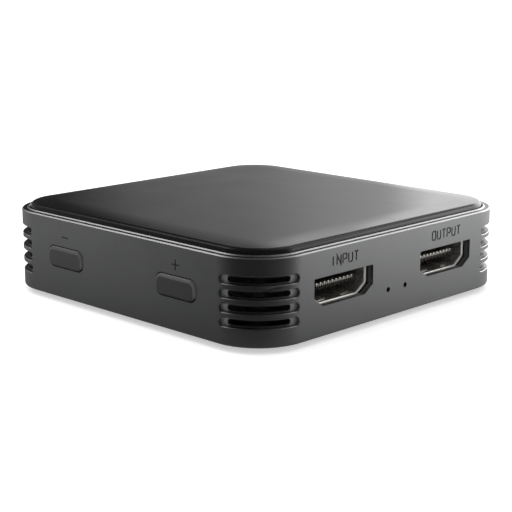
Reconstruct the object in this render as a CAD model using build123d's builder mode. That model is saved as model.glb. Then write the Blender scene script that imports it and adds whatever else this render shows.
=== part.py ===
from build123d import *
from math import cos, degrees, radians, sin
import os

os.makedirs("parts", exist_ok=True)

# Driving sizes in millimetres. The origin is the middle of the footprint on the table, +Z is up,
# the wall with the video sockets faces -Y and the wall with the buttons faces -X.

# Side frame: a square moulded ring
case_width = 70.0
case_depth = 70.0
frame_height = 15.2
corner_radius = 9.7
wall = 1.5
foot_stand = 0.8
rim_chamfer = 0.2
rim_inner_chamfer = 0.15
bead_width = 0.5
bead_rise = 0.2
bead_edge = 0.17
bottom_edge_radius = 0.5
cut_overrun = 1.0
fit_gap = 0.02

# Seat inside the rim, and the adhesive ring on it
seat_drop = 1.2
seat_width = 1.6
seat_thickness = 1.2
tape_thickness = 0.2
tape_margin = 0.2

# Top cover
cover_gap = 0.15
cover_rise = 1.15
cover_edge_radius = 1.0
cover_plate = 1.2
cover_lip = 2.0
crown_rise = 0.3
crown_width = 5.0

# Vents: a shallow round-ended recess round each corner, with a shorter air slot through its floor
vent_count = 4
vent_middle = 7.7
vent_pitch = 2.42
vent_height = 1.55
vent_depth = 0.75
vent_edge = 0.12
vent_end_inset = 0.25
air_slot_height = 0.95
air_slot_inset = 1.45

# Screw posts at the corners, each tied to both walls by a rib
post_diameter = 5.0
rib_thickness = 1.0
case_screw_diameter = 2.2
case_screw_length = 6.0
case_screw_head = 4.0
case_screw_head_height = 1.0
screw_gap = 0.1

# Base cover and feet
base_gap = 0.15
base_thickness = 1.5
seat_boss_diameter = 7.4
seat_boss_height = 1.5
foot_diameter = 8.0
foot_gap = 0.1
foot_recess = 0.6
foot_edge = 0.3

# Legends cut into the walls
legend_height = 1.6
legend_width = 1.0
legend_pitch = 1.5
legend_stroke = 0.3
legend_depth = 0.12
legend_middle = 12.75
sign_length = 1.9
sign_stroke = 0.22
sign_middle = 11.8

# Video sockets in the front wall
port_middle = 7.9
video_side_margin = 20.65
mouth_width = 14.0
mouth_height = 4.55
mouth_bevel_width = 2.2
mouth_bevel_height = 1.5
mouth_corner = 0.4
window_side_gap = 0.65
window_level_gap = 0.21
window_corner = 0.3
shell_thickness = 0.3
shell_length = 11.6
shell_setback = 1.35
shell_flare = 0.12
shell_relief = 0.25
shell_side_gap = 0.15
shell_leg_width = 1.3
shell_leg_length = 2.2
spring_width = 1.7
spring_length = 4.2
spring_start = 1.1
spring_pitch = 6.0
spring_bend = 0.3
spring_slit = 0.2
tongue_width = 10.9
tongue_thickness = 0.95
tongue_rise = 0.25
tongue_setback = 1.1
tongue_root = 6.8
video_upper_count = 10
video_lower_count = 9
video_contact_pitch = 1.0
contact_width = 0.34
contact_thickness = 0.15
contact_tip_gap = 0.12
contact_tail = 0.4
contact_foot = 0.6

# Data socket in the back wall
data_side_margin = 20.0
data_shell_width = 8.94
data_shell_height = 3.26
data_shell_thickness = 0.3
data_shell_length = 7.3
data_setback = 0.6
data_window_gap = 0.25
data_tongue_width = 6.7
data_tongue_thickness = 0.7
data_tongue_setback = 1.0
data_tongue_root = 5.0
data_contact_count = 12
data_contact_pitch = 0.5
data_contact_width = 0.25
data_contact_thickness = 0.1
data_contact_inset = 0.5

# Sound jacks in the back wall
headphone_side_margin = 19.0
jack_pitch = 10.0
jack_bore = 3.6
jack_bore_depth = 12.2
jack_collar = 5.0
jack_collar_setback = 0.3
jack_hole_gap = 0.15
jack_width = 6.0
jack_height = 5.0
jack_body_setback = 1.7
jack_body_length = 11.5
jack_spring_width = 1.2
jack_spring_thickness = 0.2
jack_spring_length = 2.6
jack_spring_wall = 0.35
jack_spring_count = 3
jack_spring_pitch = 3.6
jack_first_spring = 3.2

# Buttons in the left wall
button_end_margin = 19.85
button_width = 10.0
button_height = 3.85
button_corner = 1.5
button_gap = 0.15
button_proud = 0.35
button_edge = 0.45
button_travel = 0.3
flange_margin = 0.6
flange_gap = 0.05
flange_thickness = 0.8
nub_diameter = 2.4
nub_length = 0.8

# Side-push switches behind the buttons
switch_width = 6.0
switch_height = 4.6
switch_length = 3.4
switch_cover_thickness = 0.2
plunger_width = 3.0
plunger_height = 1.6
plunger_reach = 0.6
plunger_length = 2.0
plunger_gap = 0.1
terminal_width = 0.8
terminal_thickness = 0.2
terminal_reach = 0.9
terminal_rise = 0.8
terminal_pitch = 4.0

# Pin holes and light guide
pin_hole_pitch = 4.79
pin_hole_diameter = 0.95
pin_hole_middle = 5.05
guide_pin_diameter = 0.75
guide_pin_length = 0.55
guide_width = 7.6
guide_depth = 1.3
guide_gap = 0.1
light_width = 1.6
light_depth = 1.0
light_height = 0.7

# Circuit board
board_thickness = 1.6
board_side_gap = 1.7
board_end_gap = 0.6
board_post_gap = 0.3
board_hole_gap = 0.1
standoff_diameter = 5.0
standoff_inset_x = 15.0
standoff_inset_y = 18.0
board_screw_diameter = 2.0
board_screw_length = 4.5
board_screw_head = 3.8
board_screw_head_height = 0.9
drive_width = 0.5
drive_length = 2.0
drive_depth = 0.5

# Parts soldered to the board
processor_size = 14.0
processor_height = 1.2
pad_thickness = 0.5
sink_size = 18.0
core_gap = 2.0
sink_base = 1.5
sink_height = 5.4
fin_count = 6
fin_thickness = 0.9
memory_length = 9.0
memory_width = 7.5
memory_height = 1.0
bridge_size = 7.0
bridge_height = 0.9
sound_chip_size = 5.0
sound_chip_height = 0.9
firmware_length = 5.0
firmware_width = 3.9
firmware_height = 1.5
firmware_leg_count = 4
firmware_leg_pitch = 1.27
firmware_leg_width = 0.4
firmware_leg_thickness = 0.2
firmware_leg_reach = 1.0
crystal_length = 3.2
crystal_width = 2.5
crystal_height = 0.9
inductor_size = 4.0
inductor_height = 2.0
inductor_count = 3
regulator_size = 3.0
regulator_height = 0.9
bulk_length = 3.5
bulk_width = 2.8
bulk_height = 1.9
surge_length = 2.5
surge_width = 1.0
surge_height = 0.5
small_length = 1.0
small_width = 0.5
small_height = 0.5
small_pitch_x = 1.9
small_pitch_y = 1.6
capacitor_columns = 4
capacitor_rows = 3
resistor_columns = 3
resistor_rows = 3
chip_edge = 0.1
chip_gap = 1.0

# Heights and inner sizes that follow from them
quarter_turn = 90
frame_bottom = foot_stand
frame_top = frame_bottom + frame_height
seat_top = frame_top - seat_drop
seat_bottom = seat_top - seat_thickness
cover_bottom = seat_top + tape_thickness
cover_crest = frame_top + cover_rise
cover_top = cover_crest + crown_rise
base_top = frame_bottom + base_thickness
post_bottom = base_top + seat_boss_height
port_height = frame_bottom + port_middle
board_top = port_height - mouth_height / 2 - shell_thickness
board_bottom = board_top - board_thickness
inner_width = case_width - 2 * wall
inner_depth = case_depth - 2 * wall
inner_radius = corner_radius - wall
corner_x = case_width / 2 - corner_radius
corner_y = case_depth / 2 - corner_radius
corners = [
    (corner_x, corner_y, 0),
    (-corner_x, corner_y, quarter_turn),
    (-corner_x, -corner_y, 2 * quarter_turn),
    (corner_x, -corner_y, 3 * quarter_turn),
]
video_places = [video_side_margin - case_width / 2, case_width / 2 - video_side_margin]
button_places = [button_end_margin - case_depth / 2, case_depth / 2 - button_end_margin]
pin_hole_places = [-pin_hole_pitch / 2, pin_hole_pitch / 2]
data_place = data_side_margin - case_width / 2
headphone_place = case_width / 2 - headphone_side_margin
microphone_place = headphone_place - jack_pitch
standoff_places = [
    (side * (case_width / 2 - standoff_inset_x), end * (case_depth / 2 - standoff_inset_y))
    for side in (-1, 1)
    for end in (-1, 1)
]


# Planes that stand on a wall and look out: x runs to the right, y runs up
def front_wall(across, inset, height):
    return Plane(origin=(across, inset - case_depth / 2, height), x_dir=(1, 0, 0), z_dir=(0, -1, 0))


def back_wall(across, inset, height):
    return Plane(origin=(across, case_depth / 2 - inset, height), x_dir=(-1, 0, 0), z_dir=(0, 1, 0))


def left_wall(across, inset, height):
    return Plane(origin=(inset - case_width / 2, across, height), x_dir=(0, -1, 0), z_dir=(-1, 0, 0))


# The upright section through a wall plane: x runs into the case, y runs up
def section(face, across):
    inward = -face.z_dir
    return Plane(
        origin=face.from_local_coords((across, 0, 0)), x_dir=inward, z_dir=inward.cross(face.y_dir)
    )


# Like strips of sheet metal bent along one path, standing at each place across a wall plane
def strips(face, places, width, path, thickness):
    with BuildPart() as group:
        with BuildSketch(*[section(face, place) for place in places]):
            with BuildLine():
                Polyline(*path)
            trace(line_width=thickness)
        extrude(amount=width / 2, both=True)
    return group.part


def evenly_spaced(count, pitch):
    return [(number - (count - 1) / 2) * pitch for number in range(count)]


# Outline of a video socket's mouth: a rectangle whose two lower corners are bevelled
def mouth_points(side_gap, level_gap):
    half_width = mouth_width / 2 + side_gap
    half_height = mouth_height / 2 + level_gap
    bevel_foot = half_width - mouth_bevel_width
    bevel_head = mouth_bevel_height - half_height
    return [
        (-half_width, half_height),
        (half_width, half_height),
        (half_width, bevel_head),
        (bevel_foot, -half_height),
        (-bevel_foot, -half_height),
        (-half_width, bevel_head),
    ]


# Corner vent, made as the space that it leaves, round a corner whose centre is the origin
def radial_plane(angle):
    turn = radians(angle)
    return Plane(origin=(0, 0, 0), x_dir=(cos(turn), sin(turn), 0), z_dir=(sin(turn), -cos(turn), 0))


def corner_slot(upper_edge, end_angle):
    first_radius = upper_edge[0][0]
    last_radius = upper_edge[-1][0]
    lower_edge = [(radius, -level) for radius, level in reversed(upper_edge)]
    with BuildPart() as slot:
        with BuildSketch(radial_plane(end_angle)):
            with BuildLine():
                Polyline(*upper_edge, *lower_edge, close=True)
            make_face()
        revolve(axis=Axis.Z, revolution_arc=quarter_turn - 2 * end_angle)
        for angle in (end_angle, quarter_turn - end_angle):
            end_plane = radial_plane(angle)
            with BuildSketch(end_plane):
                with BuildLine():
                    Polyline((first_radius, 0), *upper_edge, (last_radius, 0), close=True)
                make_face()
            revolve(axis=Axis((0, 0, 0), end_plane.x_dir))
    return slot.part


recess_half = vent_height / 2
air_slot_half = air_slot_height / 2
recess_floor = corner_radius - vent_depth
outside_radius = corner_radius + cut_overrun
recess_slot = corner_slot(
    [
        (recess_floor, recess_half),
        (corner_radius - vent_edge, recess_half),
        (outside_radius, recess_half + vent_edge + cut_overrun),
    ],
    degrees((vent_end_inset + recess_half) / corner_radius),
)
air_slot = corner_slot(
    [(inner_radius - cut_overrun, air_slot_half), (corner_radius, air_slot_half)],
    degrees((vent_end_inset + air_slot_inset + air_slot_half) / corner_radius),
)
with BuildPart() as vent_space:
    add(recess_slot)
    add(air_slot)

# Letter strokes in a cell one high and one wide, as shares of the letter's width and height
letter_share = {
    "I": [[(0.5, 0), (0.5, 1)]],
    "N": [[(0, 0), (0, 1), (1, 0), (1, 1)]],
    "O": [[(0.5, 0), (0.15, 0), (0, 0.15), (0, 0.85), (0.15, 1), (0.85, 1), (1, 0.85), (1, 0.15),
           (0.85, 0), (0.5, 0)]],
    "P": [[(0, 0), (0, 1), (0.8, 1), (1, 0.85), (1, 0.6), (0.8, 0.45), (0, 0.45)]],
    "T": [[(0, 1), (1, 1)], [(0.5, 0), (0.5, 1)]],
    "U": [[(0, 1), (0, 0.15), (0.15, 0), (0.85, 0), (1, 0.15), (1, 1)]],
}

# Side frame: outer ring, seat, posts and ribs, then every opening in its walls
with BuildPart() as side_frame:
    with BuildSketch(Plane.XY.offset(frame_bottom)):
        RectangleRounded(case_width, case_depth, corner_radius)
    extrude(amount=frame_height)
    chamfer(side_frame.edges().group_by(Axis.Z)[-1], rim_chamfer)
    fillet(side_frame.edges().group_by(Axis.Z)[0], bottom_edge_radius)
    with BuildSketch(Plane.XY.offset(frame_bottom - cut_overrun)):
        RectangleRounded(inner_width, inner_depth, inner_radius)
    extrude(amount=seat_bottom - frame_bottom + cut_overrun, mode=Mode.SUBTRACT)
    with BuildSketch(Plane.XY.offset(seat_top)):
        RectangleRounded(inner_width, inner_depth, inner_radius)
    extrude(amount=seat_drop, mode=Mode.SUBTRACT)

    # A low bead along the rim's inner edge hides the gap to the cover
    with BuildSketch(Plane.XY.offset(frame_bottom + frame_height)):
        RectangleRounded(
            inner_width + 2 * bead_width, inner_depth + 2 * bead_width, inner_radius + bead_width
        )
        RectangleRounded(inner_width, inner_depth, inner_radius, mode=Mode.SUBTRACT)
    extrude(amount=bead_rise)
    bead_top = side_frame.faces().sort_by(Axis.Z)[-1]
    chamfer(bead_top.outer_wire().edges(), bead_edge)
    inner_rim = side_frame.faces().sort_by(Axis.Z)[-1].inner_wires()[0].edges()
    chamfer(inner_rim, rim_inner_chamfer)
    with BuildSketch(Plane.XY.offset(seat_bottom)):
        RectangleRounded(
            inner_width - 2 * seat_width, inner_depth - 2 * seat_width, inner_radius - seat_width
        )
    extrude(amount=seat_thickness, mode=Mode.SUBTRACT)

    # Posts and ribs hang from the seat's underside
    for x, y, turn in corners:
        reach = inner_radius + wall / 2
        with BuildSketch(Plane.XY.offset(post_bottom).move(Location((x, y, 0)))):
            Circle(post_diameter / 2)
            with Locations((x / abs(x) * reach / 2, 0)):
                Rectangle(reach, rib_thickness)
            with Locations((0, y / abs(y) * reach / 2)):
                Rectangle(rib_thickness, reach)
        extrude(amount=seat_bottom - post_bottom)
    pilot_depth = case_screw_length
    with Locations(Plane.XY.offset(post_bottom)):
        with Locations([(x, y) for x, y, turn in corners]):
            Cylinder(
                case_screw_diameter / 2 + screw_gap / 2,
                pilot_depth,
                align=(Align.CENTER, Align.CENTER, Align.MIN),
                mode=Mode.SUBTRACT,
            )

    # Windows for the video sockets, with a relief inside for the shell's edge
    for place in video_places:
        with BuildSketch(front_wall(place, -cut_overrun, port_height)) as window:
            with BuildLine():
                Polyline(*mouth_points(window_side_gap, window_level_gap), close=True)
            make_face()
            fillet(window.vertices(), window_corner)
        extrude(amount=-wall - 2 * cut_overrun, mode=Mode.SUBTRACT)
        with BuildSketch(front_wall(place, wall + cut_overrun, port_height)):
            Rectangle(
                mouth_width + 2 * shell_thickness + 4 * shell_side_gap,
                mouth_height + 2 * shell_thickness + 4 * shell_side_gap,
            )
        extrude(amount=shell_relief + cut_overrun, mode=Mode.SUBTRACT)

    # Pin holes
    for place in pin_hole_places:
        with BuildSketch(front_wall(place, -cut_overrun, frame_bottom + pin_hole_middle)):
            Circle(pin_hole_diameter / 2)
        extrude(amount=-wall - 2 * cut_overrun, mode=Mode.SUBTRACT)

    # Window for the data socket and holes for the jack collars
    data_height = board_top + data_shell_height / 2
    with BuildSketch(back_wall(data_place, -cut_overrun, data_height)):
        SlotOverall(data_shell_width + 2 * data_window_gap, data_shell_height + 2 * data_window_gap)
    extrude(amount=-wall - 2 * cut_overrun, mode=Mode.SUBTRACT)
    jack_middle = board_top + jack_height / 2
    for place in (microphone_place, headphone_place):
        with BuildSketch(back_wall(place, -cut_overrun, jack_middle)):
            Circle(jack_collar / 2 + jack_hole_gap)
        extrude(amount=-wall - 2 * cut_overrun, mode=Mode.SUBTRACT)

    # Holes for the buttons
    for place in button_places:
        with BuildSketch(left_wall(place, -cut_overrun, port_height)):
            RectangleRounded(
                button_width + 2 * button_gap, button_height + 2 * button_gap, button_corner + button_gap
            )
        extrude(amount=-wall - 2 * cut_overrun, mode=Mode.SUBTRACT)

    # Minus and plus signs over the buttons, and the words over the sockets
    for place in button_places:
        with BuildSketch(left_wall(place, 0, frame_bottom + sign_middle)):
            Rectangle(sign_length, sign_stroke)
            if place < 0:
                Rectangle(sign_stroke, sign_length)
        extrude(amount=-legend_depth, mode=Mode.SUBTRACT)
    with BuildSketch(front_wall(0, 0, frame_bottom + legend_middle)):
        for place, word in zip(video_places, ("INPUT", "OUTPUT")):
            for letter, shift in zip(word, evenly_spaced(len(word), legend_pitch)):
                left = place + shift - legend_width / 2
                for stroke in letter_share[letter]:
                    points = [
                        (left + x * legend_width, y * legend_height - legend_height / 2)
                        for x, y in stroke
                    ]
                    with BuildLine():
                        Polyline(*points)
                    trace(line_width=legend_stroke)
    extrude(amount=-legend_depth, mode=Mode.SUBTRACT)

    # Corner vents
    vent_seats = [
        Location((x, y, frame_bottom + vent_middle + level), (0, 0, turn))
        for level in evenly_spaced(vent_count, vent_pitch)
        for x, y, turn in corners
    ]
    with Locations(vent_seats):
        add(vent_space.part, mode=Mode.SUBTRACT)
side_frame.part.label = "side_frame"
export_step(side_frame.part, "parts/side_frame.step")

# Adhesive ring on the seat
cover_width = inner_width - 2 * cover_gap
cover_depth = inner_depth - 2 * cover_gap
cover_radius = inner_radius - cover_gap
with BuildPart() as cover_tape:
    tape_inset = seat_width - tape_margin
    with BuildSketch(Plane.XY.offset(seat_top)):
        RectangleRounded(
            cover_width - 2 * tape_margin, cover_depth - 2 * tape_margin, cover_radius - tape_margin
        )
        RectangleRounded(
            inner_width - 2 * tape_inset,
            inner_depth - 2 * tape_inset,
            inner_radius - tape_inset,
            mode=Mode.SUBTRACT,
        )
    extrude(amount=tape_thickness)
cover_tape.part.label = "cover_tape"
export_step(cover_tape.part, "parts/cover_tape.step")

# Top cover: a plate with a thicker edge band, a rolled edge and a low crown
with BuildPart() as top_cover:
    with BuildSketch(Plane.XY.offset(cover_bottom)):
        RectangleRounded(cover_width, cover_depth, cover_radius)
    extrude(amount=cover_top - cover_bottom)
    crown_face = top_cover.faces().sort_by(Axis.Z)[-1]
    chamfer(crown_face.edges(), crown_width, crown_rise, reference=crown_face)
    crest_edges = top_cover.edges().filter_by_position(
        Axis.Z, cover_crest - fit_gap, cover_crest + fit_gap
    )
    fillet(crest_edges, cover_edge_radius)
    with BuildSketch(Plane.XY.offset(cover_bottom)):
        RectangleRounded(
            cover_width - 2 * cover_lip, cover_depth - 2 * cover_lip, cover_radius - cover_lip
        )
    extrude(amount=cover_crest - cover_plate - cover_bottom, mode=Mode.SUBTRACT)
top_cover.part.label = "top_cover"
export_step(top_cover.part, "parts/top_cover.step")

# Base cover: a plate between the walls, with screw seats over the feet and standoffs for the board
head_seat = frame_bottom + foot_recess + case_screw_head_height + screw_gap
board_pilot_depth = board_screw_length - board_thickness + screw_gap
with BuildPart() as base_cover:
    with BuildSketch(Plane.XY.offset(frame_bottom)):
        RectangleRounded(
            inner_width - 2 * base_gap, inner_depth - 2 * base_gap, inner_radius - base_gap
        )
    extrude(amount=base_thickness)
    with BuildSketch(Plane.XY.offset(base_top)):
        with Locations([(x, y) for x, y, turn in corners]):
            Circle(seat_boss_diameter / 2)
    extrude(amount=seat_boss_height)
    with BuildSketch(Plane.XY.offset(base_top)):
        with Locations(standoff_places):
            Circle(standoff_diameter / 2)
    extrude(amount=board_bottom - base_top)
    with BuildSketch(Plane.XY.offset(frame_bottom)):
        with Locations([(x, y) for x, y, turn in corners]):
            Circle(foot_diameter / 2 + foot_gap)
    extrude(amount=foot_recess, mode=Mode.SUBTRACT)
    with BuildSketch(Plane.XY.offset(frame_bottom)):
        with Locations([(x, y) for x, y, turn in corners]):
            Circle(case_screw_head / 2 + screw_gap)
    extrude(amount=head_seat - frame_bottom, mode=Mode.SUBTRACT)
    with BuildSketch(Plane.XY.offset(frame_bottom)):
        with Locations([(x, y) for x, y, turn in corners]):
            Circle(case_screw_diameter / 2 + screw_gap)
    extrude(amount=post_bottom - frame_bottom, mode=Mode.SUBTRACT)
    with BuildSketch(Plane.XY.offset(board_bottom)):
        with Locations(standoff_places):
            Circle(board_screw_diameter / 2 + screw_gap / 2)
    extrude(amount=-board_pilot_depth, mode=Mode.SUBTRACT)
base_cover.part.label = "base_cover"
export_step(base_cover.part, "parts/base_cover.step")

# Rubber feet, bonded into their recesses over the screw heads
with BuildPart() as rubber_feet:
    with BuildSketch():
        with Locations([(x, y) for x, y, turn in corners]):
            Circle(foot_diameter / 2)
    extrude(amount=foot_stand + foot_recess)
    chamfer(rubber_feet.edges().group_by(Axis.Z)[0], foot_edge)
rubber_feet.part.label = "rubber_feet"
export_step(rubber_feet.part, "parts/rubber_feet.step")


# Cross-recess screws; each plane lies under the head and looks along the shank
def screws(planes, diameter, length, head, head_height):
    with BuildPart() as group:
        for plane in planes:
            with BuildSketch(plane):
                Circle(diameter / 2)
            extrude(amount=length)
            with BuildSketch(plane):
                Circle(head / 2)
            extrude(amount=-head_height)
            with BuildSketch(plane.offset(-head_height)):
                Rectangle(drive_length, drive_width)
                Rectangle(drive_width, drive_length)
            extrude(amount=drive_depth, mode=Mode.SUBTRACT)
    return group.part


case_screws = screws(
    [Plane.XY.offset(head_seat).move(Location((x, y, 0))) for x, y, turn in corners],
    case_screw_diameter,
    case_screw_length,
    case_screw_head,
    case_screw_head_height,
)
case_screws.label = "case_screws"
export_step(case_screws, "parts/case_screws.step")

board_screws = screws(
    [Plane(origin=(x, y, board_top), z_dir=(0, 0, -1)) for x, y in standoff_places],
    board_screw_diameter,
    board_screw_length,
    board_screw_head,
    board_screw_head_height,
)
board_screws.label = "board_screws"
export_step(board_screws, "parts/board_screws.step")


# Video sockets: drawn shell, moulded insulator with its tongue, and two rows of contacts
shell_leg_depths = [shell_length / 4, shell_length * 3 / 4]


def video_shell(face):
    wall_middle = (mouth_height + shell_thickness) / 2
    spring_end = spring_start + spring_length + spring_slit
    leg_foot = board_top - port_height - shell_leg_length
    with BuildPart() as shell:
        with BuildSketch(face) as outside:
            with BuildLine():
                Polyline(*mouth_points(0, 0), close=True)
            make_face()
            fillet(outside.vertices(), mouth_corner)
            offset(amount=shell_thickness)
        extrude(amount=-shell_length)
        with BuildSketch(face) as mouth:
            with BuildLine():
                Polyline(*mouth_points(0, 0), close=True)
            make_face()
            fillet(mouth.vertices(), mouth_corner)
        extrude(amount=-shell_length, mode=Mode.SUBTRACT)
        chamfer(shell.faces().sort_by(Axis.Y)[0].inner_wires()[0].edges(), shell_flare)
        for across in (-spring_pitch / 2, spring_pitch / 2):
            for level in (-wall_middle, wall_middle):
                lift = spring_bend if level < 0 else -spring_bend
                with BuildSketch(section(face, across)):
                    with Locations((spring_start, level)):
                        Rectangle(
                            spring_length, 2 * shell_thickness, align=(Align.MIN, Align.CENTER)
                        )
                extrude(amount=spring_width / 2 + spring_slit, both=True, mode=Mode.SUBTRACT)
                spring_path = [
                    (spring_start + spring_slit, level + lift / 2),
                    (spring_start + spring_length / 4, level + lift),
                    (spring_end, level),
                ]
                add(strips(face, [across], spring_width, spring_path, shell_thickness))
        for depth in shell_leg_depths:
            for side in (-1, 1):
                with BuildSketch(section(face, side * (mouth_width + shell_thickness) / 2)):
                    with Locations((depth, leg_foot)):
                        Rectangle(shell_leg_width, -leg_foot, align=(Align.CENTER, Align.MIN))
                extrude(amount=shell_thickness / 2, both=True)
    return shell.part


# A contact's path: a tip bent over the tongue's end, a run along it, then a tail down to the board
def contact_path(drop, middle, half_tongue, side, setback, thickness, tail):
    half = thickness / 2
    run = middle + side * (half_tongue + half)
    return [
        (setback - half, middle - side * (half_tongue - contact_tip_gap)),
        (setback - half, run),
        (tail + half, run),
        (tail + half, drop + half),
        (tail + thickness + contact_foot, drop + half),
    ]


# Insulator: a block that fills the shell's back, with a tongue and a channel for each contact
def insulator(face, block, block_start, block_end, tongue_box, contact_box, rows):
    tongue_start, tongue_across, tongue_middle, tongue_high = tongue_box
    contact_wide, contact_thick = contact_box
    with BuildPart() as body:
        with BuildSketch(face.offset(-block_start)):
            add(block)
        extrude(amount=block_start - block_end)
        with BuildSketch(face.offset(-tongue_start)):
            with Locations((0, tongue_middle)):
                Rectangle(tongue_across, tongue_high)
        extrude(amount=tongue_start - block_end)
        for side, places in rows:
            with BuildSketch(face.offset(-block_start)):
                with Locations([(place, tongue_middle + side * tongue_high / 2) for place in places]):
                    Rectangle(
                        contact_wide + 2 * fit_gap,
                        contact_thick + fit_gap,
                        align=(Align.CENTER, Align.MIN if side > 0 else Align.MAX),
                    )
            extrude(amount=block_start - block_end, mode=Mode.SUBTRACT)
    return body.part


video_rows = [
    (1, evenly_spaced(video_upper_count, video_contact_pitch)),
    (-1, evenly_spaced(video_lower_count, video_contact_pitch)),
]
with BuildSketch() as video_block:
    with BuildLine():
        Polyline(*mouth_points(0, 0), close=True)
    make_face()
    fillet(video_block.vertices(), mouth_corner)
    offset(amount=-fit_gap)

for name, place in zip(("video_in", "video_out"), video_places):
    mouth_plane = front_wall(place, shell_setback, port_height)
    shell_part = video_shell(mouth_plane)
    shell_part.label = f"{name}_shell"
    export_step(shell_part, f"parts/{name}_shell.step")

    insulator_part = insulator(
        mouth_plane,
        video_block.sketch,
        tongue_root,
        shell_length,
        (tongue_setback, tongue_width, tongue_rise, tongue_thickness),
        (contact_width, contact_thickness),
        video_rows,
    )
    insulator_part.label = f"{name}_insulator"
    export_step(insulator_part, f"parts/{name}_insulator.step")

    with BuildPart() as video_contacts:
        for side, places in video_rows:
            path = contact_path(
                board_top - port_height,
                tongue_rise,
                tongue_thickness / 2,
                side,
                tongue_setback,
                contact_thickness,
                shell_length + contact_tail,
            )
            add(strips(mouth_plane, places, contact_width, path, contact_thickness))
    video_contacts.part.label = f"{name}_contacts"
    export_step(video_contacts.part, f"parts/{name}_contacts.step")

# Data socket: a pill-shaped shell round a thin tongue with a row of contacts on each side
data_plane = back_wall(data_place, data_setback, data_height)
data_mouth_width = data_shell_width - 2 * data_shell_thickness
data_mouth_height = data_shell_height - 2 * data_shell_thickness
with BuildPart() as data_socket_shell:
    with BuildSketch(data_plane):
        SlotOverall(data_shell_width, data_shell_height)
    extrude(amount=-data_shell_length)
    with BuildSketch(data_plane):
        SlotOverall(data_mouth_width, data_mouth_height)
    extrude(amount=-data_shell_length, mode=Mode.SUBTRACT)
data_socket_shell.part.label = "data_socket_shell"
export_step(data_socket_shell.part, "parts/data_socket_shell.step")

data_rows = [(side, evenly_spaced(data_contact_count, data_contact_pitch)) for side in (1, -1)]
with BuildSketch() as data_block:
    SlotOverall(data_mouth_width - 2 * fit_gap, data_mouth_height - 2 * fit_gap)
data_socket_tongue = insulator(
    data_plane,
    data_block.sketch,
    data_tongue_root,
    data_shell_length,
    (data_tongue_setback, data_tongue_width, 0, data_tongue_thickness),
    (data_contact_width, data_contact_thickness),
    data_rows,
)
data_socket_tongue.label = "data_socket_tongue"
export_step(data_socket_tongue, "parts/data_socket_tongue.step")

with BuildPart() as data_socket_contacts:
    for side, places in data_rows:
        path = contact_path(
            board_top - data_height,
            0,
            data_tongue_thickness / 2,
            side,
            data_tongue_setback + data_contact_inset,
            data_contact_thickness,
            data_shell_length + contact_tail * (1 + side),
        )
        add(strips(data_plane, places, data_contact_width, path[1:], data_contact_thickness))
data_socket_contacts.part.label = "data_socket_contacts"
export_step(data_socket_contacts.part, "parts/data_socket_contacts.step")

# Sound jacks: a moulded body with a collar through the wall, and three springs beside the bore
spring_middle = jack_bore / 2 + jack_spring_wall + jack_spring_thickness / 2
for name, place in (("microphone_jack", microphone_place), ("headphone_jack", headphone_place)):
    jack_face = back_wall(place, 0, jack_middle)
    springs = [
        (jack_first_spring + number * jack_spring_pitch, 1 if number % 2 else -1)
        for number in range(jack_spring_count)
    ]
    with BuildPart() as jack_body:
        with BuildSketch(jack_face.offset(-jack_body_setback)):
            Rectangle(jack_width, jack_height)
        extrude(amount=-jack_body_length)
        with BuildSketch(jack_face.offset(-jack_collar_setback)):
            Circle(jack_collar / 2)
        extrude(amount=jack_collar_setback - jack_body_setback)
        with BuildSketch(jack_face.offset(-jack_collar_setback)):
            Circle(jack_bore / 2)
        extrude(amount=-jack_bore_depth, mode=Mode.SUBTRACT)
        for depth, side in springs:
            with BuildSketch(jack_face.offset(-depth - fit_gap)):
                with Locations((side * spring_middle, -jack_height / 2)):
                    Rectangle(
                        jack_spring_thickness + 2 * fit_gap,
                        (jack_height + jack_spring_width) / 2,
                        align=(Align.CENTER, Align.MIN),
                    )
            extrude(amount=-jack_spring_length, mode=Mode.SUBTRACT)
    jack_body.part.label = f"{name}_body"
    export_step(jack_body.part, f"parts/{name}_body.step")

    with BuildPart() as jack_springs:
        for depth, side in springs:
            with BuildSketch(jack_face.offset(-depth - 2 * fit_gap)):
                with Locations((side * spring_middle, -jack_height / 2)):
                    Rectangle(
                        jack_spring_thickness,
                        (jack_height + jack_spring_width) / 2 - fit_gap,
                        align=(Align.CENTER, Align.MIN),
                    )
            extrude(amount=2 * fit_gap - jack_spring_length)
    jack_springs.part.label = f"{name}_springs"
    export_step(jack_springs.part, f"parts/{name}_springs.step")

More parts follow.
